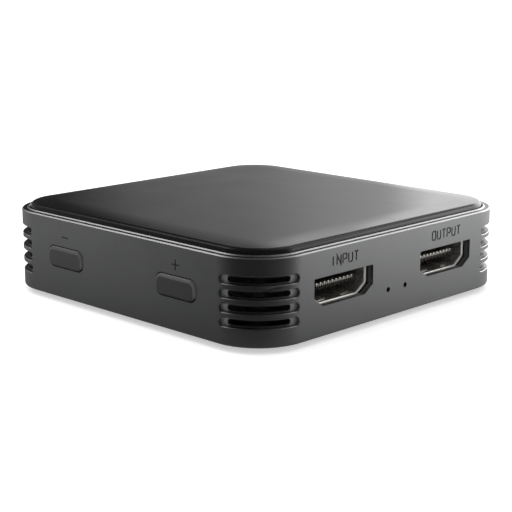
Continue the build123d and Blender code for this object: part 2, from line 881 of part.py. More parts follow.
# Buttons: a cap through the wall, a flange that keeps it in, and a nub that meets the switch
flange_inset = wall + flange_gap
nub_end = flange_inset + flange_thickness + nub_length
switch_inset = nub_end + plunger_reach
for name, place in (("plus", button_places[0]), ("minus", button_places[1])):
    with BuildPart() as button:
        with BuildSketch(left_wall(place, -button_proud, port_height)):
            RectangleRounded(button_width, button_height, button_corner)
        extrude(amount=-button_proud - flange_inset)
        fillet(button.edges().group_by(Axis.X)[0], button_edge)
        with BuildSketch(left_wall(place, flange_inset, port_height)):
            RectangleRounded(
                button_width + 2 * flange_margin, button_height + 2 * flange_margin, button_corner
            )
        extrude(amount=-flange_thickness)
        with BuildSketch(left_wall(place, flange_inset + flange_thickness, port_height)):
            Circle(nub_diameter / 2)
        extrude(amount=-nub_length)
    button.part.label = f"{name}_button"
    export_step(button.part, f"parts/{name}_button.step")

    with BuildPart() as plunger:
        with BuildSketch(left_wall(place, nub_end, port_height)):
            Rectangle(plunger_width, plunger_height)
        extrude(amount=-plunger_length)
    plunger.part.label = f"{name}_switch_plunger"
    export_step(plunger.part, f"parts/{name}_switch_plunger.step")

    with BuildPart() as switch_body:
        with BuildSketch(left_wall(place, switch_inset, board_top)):
            Rectangle(switch_width, switch_height, align=(Align.CENTER, Align.MIN))
        extrude(amount=-switch_length)
        with BuildSketch(left_wall(place, switch_inset, port_height)):
            Rectangle(plunger_width + 2 * plunger_gap, plunger_height + 2 * plunger_gap)
        extrude(
            amount=plunger_reach - plunger_length - button_travel - plunger_gap, mode=Mode.SUBTRACT
        )
    switch_body.part.label = f"{name}_switch_body"
    export_step(switch_body.part, f"parts/{name}_switch_body.step")

    with BuildPart() as switch_cover:
        with BuildSketch(left_wall(place, switch_inset, board_top)):
            Rectangle(
                switch_width + 2 * switch_cover_thickness,
                switch_height + switch_cover_thickness,
                align=(Align.CENTER, Align.MIN),
            )
            Rectangle(
                switch_width, switch_height, align=(Align.CENTER, Align.MIN), mode=Mode.SUBTRACT
            )
        extrude(amount=-switch_length)
    switch_cover.part.label = f"{name}_switch_cover"
    export_step(switch_cover.part, f"parts/{name}_switch_cover.step")

switch_terminals = strips(
    left_wall(0, switch_inset + switch_length, board_top),
    [-(place + side * terminal_pitch / 2) for place in button_places for side in (-1, 1)],
    terminal_width,
    [
        (terminal_thickness / 2, terminal_rise),
        (terminal_thickness / 2, terminal_thickness / 2),
        (terminal_reach, terminal_thickness / 2),
    ],
    terminal_thickness,
)
switch_terminals.label = "switch_terminals"
export_step(switch_terminals, "parts/switch_terminals.step")

# Light guide: a clear bar in a notch of the board's front edge, with a pin in each pin hole.
# The indicator lights sit behind it, on the board's underside.
guide_inset = wall + guide_gap
guide_bottom = board_bottom - light_height
guide_top = board_top - guide_gap
with BuildPart() as light_guide:
    with BuildSketch(front_wall(0, guide_inset, guide_bottom)):
        Rectangle(guide_width, guide_top - guide_bottom, align=(Align.CENTER, Align.MIN))
    extrude(amount=-guide_depth)
    with BuildSketch(front_wall(0, guide_inset, frame_bottom + pin_hole_middle)):
        with Locations([(place, 0) for place in pin_hole_places]):
            Circle(guide_pin_diameter / 2)
    extrude(amount=guide_pin_length)
light_guide.part.label = "light_guide"
export_step(light_guide.part, "parts/light_guide.step")

with BuildPart() as status_lights:
    with BuildSketch(Plane.XY.offset(board_bottom)):
        with Locations([(place, guide_inset + guide_depth - case_depth / 2) for place in pin_hole_places]):
            Rectangle(light_width, light_depth, align=(Align.CENTER, Align.MIN))
    extrude(amount=-light_height)
status_lights.part.label = "status_lights"
export_step(status_lights.part, "parts/status_lights.step")

# Circuit board: notched round the posts and the light guide, bored for screws and slotted for legs
board_width = inner_width - 2 * board_side_gap
board_depth = inner_depth - 2 * board_end_gap
post_clear_x = corner_x - post_diameter / 2 - board_post_gap
post_clear_y = corner_y - post_diameter / 2 - board_post_gap
with BuildPart() as circuit_board:
    with BuildSketch(Plane.XY.offset(board_bottom)):
        Rectangle(board_width, 2 * post_clear_y)
        Rectangle(2 * post_clear_x, board_depth)
        with Locations((0, guide_inset + guide_depth - case_depth / 2)):
            Rectangle(
                guide_width + 2 * board_hole_gap,
                guide_depth + wall,
                align=(Align.CENTER, Align.MAX),
                mode=Mode.SUBTRACT,
            )
        with Locations(standoff_places):
            Circle(board_screw_diameter / 2 + board_hole_gap, mode=Mode.SUBTRACT)
        for place in video_places:
            for side in (-1, 1):
                for depth in shell_leg_depths:
                    leg_x = place + side * (mouth_width + shell_thickness) / 2
                    with Locations((leg_x, shell_setback + depth - case_depth / 2)):
                        Rectangle(
                            shell_thickness + 2 * board_hole_gap,
                            shell_leg_width + 2 * board_hole_gap,
                            mode=Mode.SUBTRACT,
                        )
    extrude(amount=board_thickness)
circuit_board.part.label = "circuit_board"
export_step(circuit_board.part, "parts/circuit_board.step")


def chips(places, length, width, height):
    with BuildPart() as group:
        with BuildSketch(Plane.XY.offset(board_top)):
            with Locations(places):
                Rectangle(length, width)
        extrude(amount=height)
        chamfer(group.edges().group_by(Axis.Z)[-1], chip_edge)
    return group.part


def grid_places(middle_x, middle_y, columns, rows):
    return [
        (middle_x + x, middle_y + y)
        for x in evenly_spaced(columns, small_pitch_x)
        for y in evenly_spaced(rows, small_pitch_y)
    ]


# The heat sink stands behind the video sockets, with the memory behind it
video_feet_end = shell_setback + shell_length + contact_tail + contact_thickness + contact_foot
core_y = video_feet_end + core_gap + sink_size / 2 - case_depth / 2
core_side = sink_size / 2 + chip_gap
memory_x = (memory_length + chip_gap) / 2
memory_y = core_y + core_side + memory_width / 2
surge_y = video_feet_end + core_gap / 2 - case_depth / 2
surge_shift = (surge_length + chip_gap) / 2

# Right of the heat sink: inductors, then a regulator, the firmware chip, a crystal and capacitors
inductor_x = core_side + inductor_size / 2
inductor_y = core_y + inductor_size / 2
inductor_side = inductor_x + inductor_size / 2 + chip_gap
regulator_x = inductor_side + regulator_size / 2
firmware_x = inductor_side + firmware_leg_reach + firmware_width / 2
firmware_y = core_y + (regulator_size + firmware_length) / 2 + chip_gap
right_crystal_y = firmware_y + (firmware_length + crystal_width) / 2 + chip_gap
bulk_x = firmware_x + firmware_width / 2 + firmware_leg_reach + chip_gap + bulk_width / 2

# Left of it: small capacitors, a crystal, a regulator and resistors
capacitor_x = -core_side - ((capacitor_columns - 1) * small_pitch_x + small_length) / 2
capacitor_end = core_y + ((capacitor_rows - 1) * small_pitch_y + small_width) / 2 + chip_gap
left_crystal_x = -core_side - crystal_length / 2
left_crystal_y = capacitor_end + crystal_width / 2
left_regulator_x = -core_side - regulator_size / 2
left_regulator_y = left_crystal_y + (crystal_width + regulator_size) / 2 + chip_gap
resistor_x = -core_side - ((resistor_columns - 1) * small_pitch_x + small_length) / 2
resistor_end = left_regulator_y + regulator_size / 2 + chip_gap
resistor_y = resistor_end + ((resistor_rows - 1) * small_pitch_y + small_width) / 2

# Beside the back wall's sockets: the data bridge chip and the sound chip
data_feet_end = data_setback + data_shell_length + 2 * contact_tail + data_contact_thickness + contact_foot
bridge_x = data_place + (data_shell_width - bridge_size) / 2
bridge_y = case_depth / 2 - data_feet_end - chip_gap - bridge_size / 2
sound_chip_x = headphone_place - (jack_width + chip_gap) / 2
sound_chip_y = case_depth / 2 - jack_body_setback - jack_body_length - chip_gap - sound_chip_size / 2

chip_groups = {
    "video_processor": ([(0, core_y)], processor_size, processor_size, processor_height),
    "memory_chips": (
        [(-memory_x, memory_y), (memory_x, memory_y)], memory_length, memory_width, memory_height
    ),
    "data_bridge_chip": ([(bridge_x, bridge_y)], bridge_size, bridge_size, bridge_height),
    "sound_chip": (
        [(sound_chip_x, sound_chip_y)], sound_chip_size, sound_chip_size, sound_chip_height
    ),
    "firmware_chip": ([(firmware_x, firmware_y)], firmware_width, firmware_length, firmware_height),
    "clock_crystals": (
        [(left_crystal_x, left_crystal_y), (firmware_x, right_crystal_y)],
        crystal_length,
        crystal_width,
        crystal_height,
    ),
    "power_inductors": (
        [
            (inductor_x, inductor_y + shift)
            for shift in evenly_spaced(inductor_count, inductor_size + chip_gap)
        ],
        inductor_size,
        inductor_size,
        inductor_height,
    ),
    "voltage_regulators": (
        [(regulator_x, core_y), (left_regulator_x, left_regulator_y)],
        regulator_size,
        regulator_size,
        regulator_height,
    ),
    "bulk_capacitors": (
        [(bulk_x, core_y), (bulk_x, core_y + bulk_length + chip_gap)],
        bulk_width,
        bulk_length,
        bulk_height,
    ),
    "surge_protectors": (
        [(place + side * surge_shift, surge_y) for place in video_places for side in (-1, 1)],
        surge_length,
        surge_width,
        surge_height,
    ),
    "small_capacitors": (
        grid_places(capacitor_x, core_y, capacitor_columns, capacitor_rows),
        small_length,
        small_width,
        small_height,
    ),
    "resistors": (
        grid_places(resistor_x, resistor_y, resistor_columns, resistor_rows),
        small_length,
        small_width,
        small_height,
    ),
}
for name, (places, length, width, height) in chip_groups.items():
    chip_part = chips(places, length, width, height)
    chip_part.label = name
    export_step(chip_part, f"parts/{name}.step")

# Firmware chip's bent legs
with BuildPart() as firmware_chip_legs:
    for side in (-1, 1):
        leg_face = Plane(
            origin=(firmware_x + side * firmware_width / 2, firmware_y, board_top),
            x_dir=(0, -side, 0),
            z_dir=(-side, 0, 0),
        )
        leg_path = [
            (0, firmware_height / 2),
            (firmware_leg_reach / 3, firmware_height / 2),
            (firmware_leg_reach / 3, firmware_leg_thickness / 2),
            (firmware_leg_reach, firmware_leg_thickness / 2),
        ]
        leg_places = evenly_spaced(firmware_leg_count, firmware_leg_pitch)
        add(strips(leg_face, leg_places, firmware_leg_width, leg_path, firmware_leg_thickness))
firmware_chip_legs.part.label = "firmware_chip_legs"
export_step(firmware_chip_legs.part, "parts/firmware_chip_legs.step")

# Thermal pad and finned heat sink on the video processor
pad_bottom = board_top + processor_height
with BuildPart() as thermal_pad:
    with BuildSketch(Plane.XY.offset(pad_bottom)):
        with Locations((0, core_y)):
            Rectangle(processor_size, processor_size)
    extrude(amount=pad_thickness)
thermal_pad.part.label = "thermal_pad"
export_step(thermal_pad.part, "parts/thermal_pad.step")

with BuildPart() as heat_sink:
    with BuildSketch(Plane.XY.offset(pad_bottom + pad_thickness)):
        with Locations((0, core_y)):
            Rectangle(sink_size, sink_size)
    extrude(amount=sink_base)
    fin_pitch = (sink_size - fin_thickness) / (fin_count - 1)
    with BuildSketch(Plane.XY.offset(pad_bottom + pad_thickness + sink_base)):
        with Locations([(shift, core_y) for shift in evenly_spaced(fin_count, fin_pitch)]):
            Rectangle(fin_thickness, sink_size)
    extrude(amount=sink_height - sink_base)
heat_sink.part.label = "heat_sink"
export_step(heat_sink.part, "parts/heat_sink.step")
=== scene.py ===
from math import cos, pi, radians, sin

import bmesh
import bpy
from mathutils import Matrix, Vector


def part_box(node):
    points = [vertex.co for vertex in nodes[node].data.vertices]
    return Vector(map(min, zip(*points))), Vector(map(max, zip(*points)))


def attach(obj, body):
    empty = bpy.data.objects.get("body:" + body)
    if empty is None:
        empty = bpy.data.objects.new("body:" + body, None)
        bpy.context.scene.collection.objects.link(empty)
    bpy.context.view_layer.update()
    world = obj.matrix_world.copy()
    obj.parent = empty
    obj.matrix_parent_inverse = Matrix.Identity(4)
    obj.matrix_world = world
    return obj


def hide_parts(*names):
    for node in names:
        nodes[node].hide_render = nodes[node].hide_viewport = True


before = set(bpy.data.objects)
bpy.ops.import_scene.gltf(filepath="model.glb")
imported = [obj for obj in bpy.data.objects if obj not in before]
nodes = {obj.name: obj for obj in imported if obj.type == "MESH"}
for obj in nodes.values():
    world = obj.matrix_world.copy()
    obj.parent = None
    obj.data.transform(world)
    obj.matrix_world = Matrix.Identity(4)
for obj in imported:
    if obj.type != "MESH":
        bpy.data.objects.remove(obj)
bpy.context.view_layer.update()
mm = 0.001


# Base cover: a flat moulded plate in black plastic, spark-eroded to a fine matt grain, with a raised
# seat over each foot and four standoffs. It lies inside the side frame's lower edge.
def feed(tree, value, socket):
    if isinstance(value, bpy.types.NodeSocket):
        tree.links.new(value, socket)
    elif isinstance(value, tuple):
        socket.default_value = (*value, 1)
    else:
        socket.default_value = value


def noise(tree, vector, scale, detail, rough=0.5):
    node = tree.nodes.new("ShaderNodeTexNoise")
    for label, value in (
        ("Vector", vector), ("Scale", scale), ("Detail", detail), ("Roughness", rough)
    ):
        feed(tree, value, node.inputs[label])
    return node.outputs["Fac"]


def remap(tree, value, low, high, to_low, to_high):
    node = tree.nodes.new("ShaderNodeMapRange")
    node.clamp = True
    for label, number in (
        ("Value", value), ("From Min", low), ("From Max", high), ("To Min", to_low), ("To Max", to_high)
    ):
        feed(tree, number, node.inputs[label])
    return node.outputs["Result"]


def math_node(tree, operation, first, second):
    node = tree.nodes.new("ShaderNodeMath")
    node.operation = operation
    feed(tree, first, node.inputs[0])
    feed(tree, second, node.inputs[1])
    return node.outputs["Value"]


def mix_colour(tree, factor, first, second):
    node = tree.nodes.new("ShaderNodeMix")
    node.data_type = "RGBA"
    factor_in, first_in, second_in, result = node.inputs[0], node.inputs[6], node.inputs[7], node.outputs[2]
    feed(tree, factor, factor_in)
    feed(tree, first, first_in)
    feed(tree, second, second_in)
    return result


def node_group(name, inputs, outputs):
    group = bpy.data.node_groups.new(name, "ShaderNodeTree")
    for label, kind in inputs:
        group.interface.new_socket(label, in_out="INPUT", socket_type=kind)
    for label in outputs:
        group.interface.new_socket(label, in_out="OUTPUT", socket_type="NodeSocketFloat")
    return group, group.nodes.new("NodeGroupInput"), group.nodes.new("NodeGroupOutput")


# Grain: a fine even texture with slower clouds through it, as on moulded, sprayed or blasted skins
grain, grain_in, grain_out = node_group(
    "surface_grain",
    (("Vector", "NodeSocketVector"), ("Grains per metre", "NodeSocketFloat")),
    ("Height", "Cloud", "Fleck"),
)
clouds_per_metre = 90
flecks_per_grain = 0.4
fleck_range = (0.35, 0.65)
grain_vector, grain_scale = grain_in.outputs[0], grain_in.outputs[1]
grain.links.new(noise(grain, grain_vector, grain_scale, 3, 0.6), grain_out.inputs["Height"])
grain.links.new(noise(grain, grain_vector, clouds_per_metre, 3, 0.55), grain_out.inputs["Cloud"])
fleck = noise(grain, grain_vector, math_node(grain, "MULTIPLY", grain_scale, flecks_per_grain), 1)
grain.links.new(remap(grain, fleck, *fleck_range, 0, 1), grain_out.inputs["Fleck"])

# Handling: soft smears left by fingers, drawn out along one direction, which only change the gloss
handling, handling_in, handling_out = node_group(
    "handling_smears",
    (("Vector", "NodeSocketVector"), ("Smears per metre", "NodeSocketFloat")),
    ("Smear",),
)
smear_range = (0.42, 0.68)
drawn_out = handling.nodes.new("ShaderNodeMapping")
drawn_out.inputs["Scale"].default_value = (1, 0.55, 1)
drawn_out.inputs["Rotation"].default_value = (0, 0, 0.6)
handling.links.new(handling_in.outputs[0], drawn_out.inputs["Vector"])
smear = noise(handling, drawn_out.outputs["Vector"], handling_in.outputs[1], 5, 0.62)
handling.links.new(remap(handling, smear, *smear_range, 0, 1), handling_out.inputs["Smear"])

# Every finish is a colour with clouds and flecks in it, a gloss with smears, and a fine grain
smears_per_metre = 60
fleck_tone = 0.8
fleck_share = 0.25
cloud_range = (0.3, 0.7)
gloss_swing = 0.03
grain_strength = 0.6
coat_roughness = 0.12


def finish_material(
    name,
    colour,
    cloud_colour,
    roughness,
    grains,
    depth,
    metallic=0.0,
    smears=0.05,
    coat=0.0,
    specular=0.5,
):
    material = bpy.data.materials.new(name)
    material.use_nodes = True
    material.diffuse_color = (*colour, 1)
    tree = material.node_tree
    shader = tree.nodes["Principled BSDF"]
    shader.inputs["Metallic"].default_value = metallic
    shader.inputs["Coat Weight"].default_value = coat
    shader.inputs["Coat Roughness"].default_value = coat_roughness
    shader.inputs["Specular IOR Level"].default_value = specular
    place = tree.nodes.new("ShaderNodeTexCoord").outputs["Object"]
    skin = tree.nodes.new("ShaderNodeGroup")
    skin.node_tree = grain
    skin.inputs["Grains per metre"].default_value = grains
    tree.links.new(place, skin.inputs["Vector"])
    touch = tree.nodes.new("ShaderNodeGroup")
    touch.node_tree = handling
    touch.inputs["Smears per metre"].default_value = smears_per_metre
    tree.links.new(place, touch.inputs["Vector"])
    clouded = mix_colour(tree, skin.outputs["Cloud"], colour, cloud_colour)
    fleck_colour = tuple(fleck_tone * part for part in colour)
    flecks = math_node(tree, "MULTIPLY", skin.outputs["Fleck"], fleck_share)
    tree.links.new(mix_colour(tree, flecks, clouded, fleck_colour), shader.inputs["Base Color"])
    smooth, dull = roughness - gloss_swing, roughness + gloss_swing
    gloss = remap(tree, skin.outputs["Cloud"], *cloud_range, smooth, dull)
    worn = remap(tree, touch.outputs["Smear"], 0, 1, 0, smears)
    tree.links.new(math_node(tree, "ADD", gloss, worn), shader.inputs["Roughness"])
    bump = tree.nodes.new("ShaderNodeBump")
    bump.inputs["Distance"].default_value = depth
    bump.inputs["Strength"].default_value = grain_strength
    tree.links.new(skin.outputs["Height"], bump.inputs["Height"])
    tree.links.new(bump.outputs["Normal"], shader.inputs["Normal"])
    return material


def dress(material, *names):
    for name in names:
        nodes[name].data.materials.clear()
        nodes[name].data.materials.append(material)


base_plastic = finish_material(
    "base_plastic",
    (0.022, 0.022, 0.023),
    (0.03, 0.03, 0.031),
    roughness=0.52,
    grains=3500,
    depth=0.04 * mm,
    smears=0.08,
)
dress(base_plastic, "base_cover")

# Feet: four discs punched from black foam rubber, stuck into the round recesses of the base.
# Their faces are matt and a little dusty from the desk.
foot_rubber = finish_material(
    "foot_rubber",
    (0.014, 0.014, 0.014),
    (0.026, 0.025, 0.024),
    roughness=0.78,
    grains=2600,
    depth=0.06 * mm,
    smears=0.1,
)
dress(foot_rubber, "rubber_feet")

# Screws: zinc-plated steel with a cross recess. The four under the feet hold the case together and
# the other four hold the board on its standoffs.
screw_zinc = finish_material(
    "screw_zinc",
    (0.55, 0.56, 0.57),
    (0.42, 0.43, 0.45),
    roughness=0.3,
    grains=5000,
    depth=0.006 * mm,
    metallic=1.0,
)
dress(screw_zinc, "case_screws", "board_screws")


# Circuit board: glass-fibre sheet under a dark green solder mask, with copper tracks showing as
# lighter lines. It is screwed to the base's standoffs.
def paint_over(material, mask, colour, metallic=None):
    tree = material.node_tree
    inputs = tree.nodes["Principled BSDF"].inputs
    plain_colour = inputs["Base Color"].links[0].from_socket
    tree.links.new(mix_colour(tree, mask, plain_colour, colour), inputs["Base Color"])
    if metallic is not None:
        plain_metal = inputs["Metallic"].default_value
        tree.links.new(remap(tree, mask, 0, 1, plain_metal, metallic), inputs["Metallic"])


board_mask = finish_material(
    "board_mask",
    (0.006, 0.05, 0.026),
    (0.008, 0.062, 0.032),
    roughness=0.3,
    grains=1800,
    depth=0.01 * mm,
    smears=0.04,
    coat=0.4,
)
tree = board_mask.node_tree
track = tree.nodes.new("ShaderNodeTexBrick")
for label, value in (
    ("Scale", 330), ("Mortar Size", 0.035), ("Brick Width", 1.7), ("Row Height", 0.42)
):
    track.inputs[label].default_value = value
tree.links.new(tree.nodes["Texture Coordinate"].outputs["Object"], track.inputs["Vector"])
paint_over(board_mask, track.outputs["Fac"], (0.03, 0.16, 0.08))
dress(board_mask, "circuit_board")

# Chips: black moulded epoxy with a faintly speckled, laser-matt top, soldered to the board.
# Surge protectors and resistors have the same dark body.
chip_epoxy = finish_material(
    "chip_epoxy",
    (0.018, 0.018, 0.02),
    (0.03, 0.03, 0.032),
    roughness=0.55,
    grains=6000,
    depth=0.01 * mm,
    smears=0.02,
)
dress(
    chip_epoxy,
    "video_processor",
    "memory_chips",
    "data_bridge_chip",
    "sound_chip",
    "firmware_chip",
    "voltage_regulators",
    "surge_protectors",
    "resistors",
)

# Other soldered parts: pressed ferrite inductors, yellow moulded and tan ceramic capacitors, and
# drawn steel crystal cans. Tinned legs and terminals share one finish.
ferrite = finish_material(
    "pressed_ferrite",
    (0.07, 0.07, 0.075),
    (0.1, 0.1, 0.1),
    roughness=0.62,
    grains=7000,
    depth=0.02 * mm,
    smears=0.02,
)
dress(ferrite, "power_inductors")
tantalum = finish_material(
    "moulded_tantalum",
    (0.5, 0.27, 0.04),
    (0.56, 0.33, 0.07),
    roughness=0.4,
    grains=4000,
    depth=0.01 * mm,
    smears=0.02,
)
dress(tantalum, "bulk_capacitors")
ceramic = finish_material(
    "fired_ceramic",
    (0.4, 0.29, 0.19),
    (0.46, 0.34, 0.22),
    roughness=0.35,
    grains=9000,
    depth=0.006 * mm,
    smears=0.02,
)
dress(ceramic, "small_capacitors")
crystal_can = finish_material(
    "crystal_can",
    (0.62, 0.61, 0.58),
    (0.5, 0.49, 0.47),
    roughness=0.22,
    grains=9000,
    depth=0.004 * mm,
    metallic=1.0,
)
dress(crystal_can, "clock_crystals")
tinned = finish_material(
    "tinned_metal",
    (0.68, 0.68, 0.67),
    (0.55, 0.55, 0.54),
    roughness=0.3,
    grains=9000,
    depth=0.006 * mm,
    metallic=1.0,
)
dress(tinned, "firmware_chip_legs", "switch_terminals")

# Heat sink: a black anodised extrusion with six fins, on a soft grey thermal pad that covers the
# video processor.
anodised = finish_material(
    "black_anodised",
    (0.035, 0.035, 0.038),
    (0.05, 0.05, 0.055),
    roughness=0.42,
    grains=5000,
    depth=0.01 * mm,
    metallic=0.6,
)
dress(anodised, "heat_sink")
thermal_gel = finish_material(
    "thermal_gel",
    (0.32, 0.37, 0.42),
    (0.38, 0.42, 0.46),
    roughness=0.7,
    grains=2500,
    depth=0.03 * mm,
    smears=0.02,
)
dress(thermal_gel, "thermal_pad")


# Sockets' shells: thin steel, stamped, folded and nickel plated. The strip is bright, with a slightly
# yellow cast, and the mouths' lips are painted paler and less metallic as a highlight.
def coordinates(tree):
    split = tree.nodes.new("ShaderNodeSeparateXYZ")
    tree.links.new(tree.nodes["Texture Coordinate"].outputs["Object"], split.inputs[0])
    return tuple(split.outputs)


def distance(tree, value, middle):
    return math_node(tree, "ABSOLUTE", math_node(tree, "SUBTRACT", value, middle), 0)


def above(tree, value, limit, blend):
    return remap(tree, value, limit, limit + blend, 0, 1)


soft_edge = 0.1 * mm
mouth_highlight_place = 33.3 * mm
nickel = finish_material(
    "nickel_plate",
    (0.8, 0.77, 0.72),
    (0.72, 0.69, 0.63),
    roughness=0.2,
    grains=6000,
    depth=0.004 * mm,
    metallic=0.88,
    smears=0.1,
)
tree = nickel.node_tree
x, y, z = coordinates(tree)
# Painted highlight: a band at the shells' mouths is paler and less metallic
mouth_highlight = above(tree, distance(tree, y, 0), mouth_highlight_place, soft_edge)
paint_over(nickel, mouth_highlight, (0.93, 0.91, 0.88), metallic=0.4)
dress(nickel, "video_in_shell", "video_out_shell", "data_socket_shell")

# Sockets' insulators: glossy black moulding that fills the back of the shell and carries the
# tongue, with one channel for each contact. The jacks' bodies are the same plastic.
socket_black = finish_material(
    "socket_moulding",
    (0.012, 0.012, 0.013),
    (0.018, 0.018, 0.019),
    roughness=0.34,
    grains=5200,
    depth=0.01 * mm,
    smears=0.03,
)
dress(
    socket_black,
    "video_in_insulator",
    "video_out_insulator",
    "data_socket_tongue",
    "microphone_jack_body",
    "headphone_jack_body",
)


# Contacts: stamped copper alloy, nickel plated and then flashed with gold so thinly that they look
# nearly silver. They lie in the tongues' channels, and the jacks' springs are the same.
def below(tree, value, limit, blend):
    return remap(tree, value, limit, limit + blend, 1, 0)


def all_of(tree, mask, *others):
    for other in others:
        mask = math_node(tree, "MULTIPLY", mask, other)
    return mask


gold = finish_material(
    "gold_flash",
    (0.69, 0.665, 0.61),
    (0.61, 0.585, 0.53),
    roughness=0.3,
    grains=9000,
    depth=0.003 * mm,
    metallic=1.0,
    smears=0.03,
)

# The tips that bend over the video tongues' ends are painted dark as shade from the moulding, all but the
# bends of the upper row
tip_top, tip_blend = 8.9 * mm, 0.5 * mm
tip_back = -32.4 * mm
tree = gold.node_tree
x, y, z = coordinates(tree)
tip_shade = all_of(tree, below(tree, z, tip_top, tip_blend), below(tree, y, tip_back, soft_edge))
paint_over(gold, tip_shade, (0.035, 0.03, 0.025))
dress(
    gold,
    "video_in_contacts",
    "video_out_contacts",
    "data_socket_contacts",
    "microphone_jack_springs",
    "headphone_jack_springs",
)

# Light guide: one clear acrylic moulding whose two pins stand in the pin holes, with the milky
# lenses of the indicator lights behind it.
clear = finish_material(
    "clear_acrylic",
    (0.75, 0.78, 0.8),
    (0.7, 0.73, 0.75),
    roughness=0.12,
    grains=2000,
    depth=0.004 * mm,
    smears=0.02,
)
clear.node_tree.nodes["Principled BSDF"].inputs["Transmission Weight"].default_value = 1.0
clear.node_tree.nodes["Principled BSDF"].inputs["IOR"].default_value = 1.49
dress(clear, "light_guide")
lens = finish_material(
    "milky_lens",
    (0.75, 0.74, 0.66),
    (0.8, 0.79, 0.72),
    roughness=0.3,
    grains=3000,
    depth=0.004 * mm,
    smears=0.02,
)
dress(lens, "status_lights")

# Switches: a black moulding under a folded, tinned steel cover, soldered behind each button, with
# an ivory plunger that the button's nub pushes.
switch_black = finish_material(
    "switch_moulding",
    (0.02, 0.02, 0.021),
    (0.028, 0.028, 0.028),
    roughness=0.45,
    grains=4500,
    depth=0.01 * mm,
    smears=0.02,
)
dress(switch_black, "plus_switch_body", "minus_switch_body")
dress(tinned, "plus_switch_cover", "minus_switch_cover")
ivory = finish_material(
    "ivory_moulding",
    (0.6, 0.57, 0.48),
    (0.66, 0.63, 0.54),
    roughness=0.4,
    grains=4500,
    depth=0.01 * mm,
    smears=0.02,
)
dress(ivory, "plus_switch_plunger", "minus_switch_plunger")

# Side frame: a moulded plastic ring, sprayed with a fine metallic dark grey, satin all over. Words and
# signs are engraved in its walls, and the base and the cover close it below and above.
frame_low, frame_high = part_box("side_frame")
wall_skin = frame_high.x
corner_radius = 9.7 * mm
spray_metal = 0.95
spray_roughness = 0.36
spray_grains = 9000
spray_depth = 0.006 * mm
case_spray = finish_material(
    "case_spray",
    (0.2, 0.202, 0.204),
    (0.223, 0.225, 0.228),
    roughness=spray_roughness,
    grains=spray_grains,
    depth=spray_depth,
    metallic=spray_metal,
)
tree = case_spray.node_tree
x, y, z = coordinates(tree)
x_size, y_size = distance(tree, x, 0), distance(tree, y, 0)


def band(tree, value, low, high, blend):
    return all_of(tree, above(tree, value, low, blend), below(tree, value, high, blend))


# The engraved words and signs have their floors painted darker, as painted shade in the engraving
legend_reach = 24 * mm
legend_foot = frame_low.z + 10.7 * mm
legend_start, legend_end = 0.03 * mm, 0.14 * mm
legend_blend = 0.03 * mm


def legend(depth_axis, along_wall):
    return all_of(
        tree,
        band(tree, depth_axis, legend_start - wall_skin, legend_end - wall_skin, legend_blend),
        below(tree, along_wall, legend_reach, soft_edge),
        above(tree, z, legend_foot, soft_edge),
    )


engraving_shade = math_node(tree, "MAXIMUM", legend(y, x_size), legend(x, y_size))
paint_over(case_spray, engraving_shade, (0.075, 0.075, 0.076))


# How far a place lies outside a rectangle, given by a middle and a half length along each axis
def from_rectangle(tree, *axes):
    outside = tree.nodes.new("ShaderNodeCombineXYZ")
    for socket, (along, middle, half_length) in zip(outside.inputs, axes):
        beyond = math_node(tree, "SUBTRACT", distance(tree, along, middle), half_length)
        tree.links.new(math_node(tree, "MAXIMUM", beyond, 0), socket)
    length = tree.nodes.new("ShaderNodeVectorMath")
    length.operation = "LENGTH"
    tree.links.new(outside.outputs["Vector"], length.inputs[0])
    return length.outputs["Value"]


# The rim's outer edge and bead are painted bright as highlights, and so are the narrow chamfers between
# the skin and the sides of the vents' recesses. The flat between the rim's edge and bead is painted dark,
# as painted shade.
crisp_edge = 0.02 * mm
corner_middle = wall_skin - corner_radius
outward = from_rectangle(tree, (x, 0, corner_middle), (y, 0, corner_middle))
rim_height = 0.41 * mm
flat_inset, bead_inset = 0.21 * mm, 1 * mm
rim = above(tree, z, frame_high.z - rim_height, crisp_edge)
shaded_flat = band(tree, outward, corner_radius - bead_inset, corner_radius - flat_inset, crisp_edge)
vent_middle = frame_low.z + 7.7 * mm
vent_count = 4
vent_pitch = 2.42 * mm
lowest_vent = vent_middle - (vent_count - 1) / 2 * vent_pitch
highest_vent = vent_middle + (vent_count - 1) / 2 * vent_pitch
vent_margin = 1.07 * mm
chamfer_start, chamfer_end = 0.11 * mm, 0.035 * mm
chamfer_reach = 0.86 * mm
from_vent = math_node(tree, "PINGPONG", math_node(tree, "SUBTRACT", z, lowest_vent), vent_pitch / 2)
nearer = math_node(tree, "MINIMUM", x_size, y_size)
chamfer_highlight = all_of(
    tree,
    band(tree, outward, corner_radius - chamfer_start, corner_radius - chamfer_end, crisp_edge / 2),
    above(tree, nearer, corner_middle + soft_edge, soft_edge),
    below(tree, from_vent, chamfer_reach, crisp_edge / 2),
    band(tree, z, lowest_vent - vent_margin, highest_vent + vent_margin, soft_edge),
)
rim_highlight = math_node(tree, "MULTIPLY", rim, math_node(tree, "SUBTRACT", 1, shaded_flat))
# Painted shade on the rim's flat, then painted highlights on its edge, bead and the vents' chamfers
paint_over(case_spray, math_node(tree, "MULTIPLY", rim, shaded_flat), (0.05, 0.05, 0.052))
paint_over(case_spray, math_node(tree, "MAXIMUM", rim_highlight, chamfer_highlight), (0.5, 0.5, 0.5))

# The floors at the ends of the vents' recesses are painted paler and less metallic, as a painted highlight
recess_depth = 0.75 * mm
recess_slack = 0.06 * mm
recess_radius = corner_radius - recess_depth
recesses_top = vent_middle + 5 * mm
end_length, end_blend = 1.4 * mm, 0.7 * mm
recess_end_highlight = all_of(
    tree,
    band(tree, outward, recess_radius - recess_slack, recess_radius + recess_slack, crisp_edge),
    below(tree, z, recesses_top, soft_edge),
    below(tree, nearer, corner_middle + end_length, end_blend),
)
paint_over(case_spray, recess_end_highlight, (0.3, 0.303, 0.306), metallic=0.6)
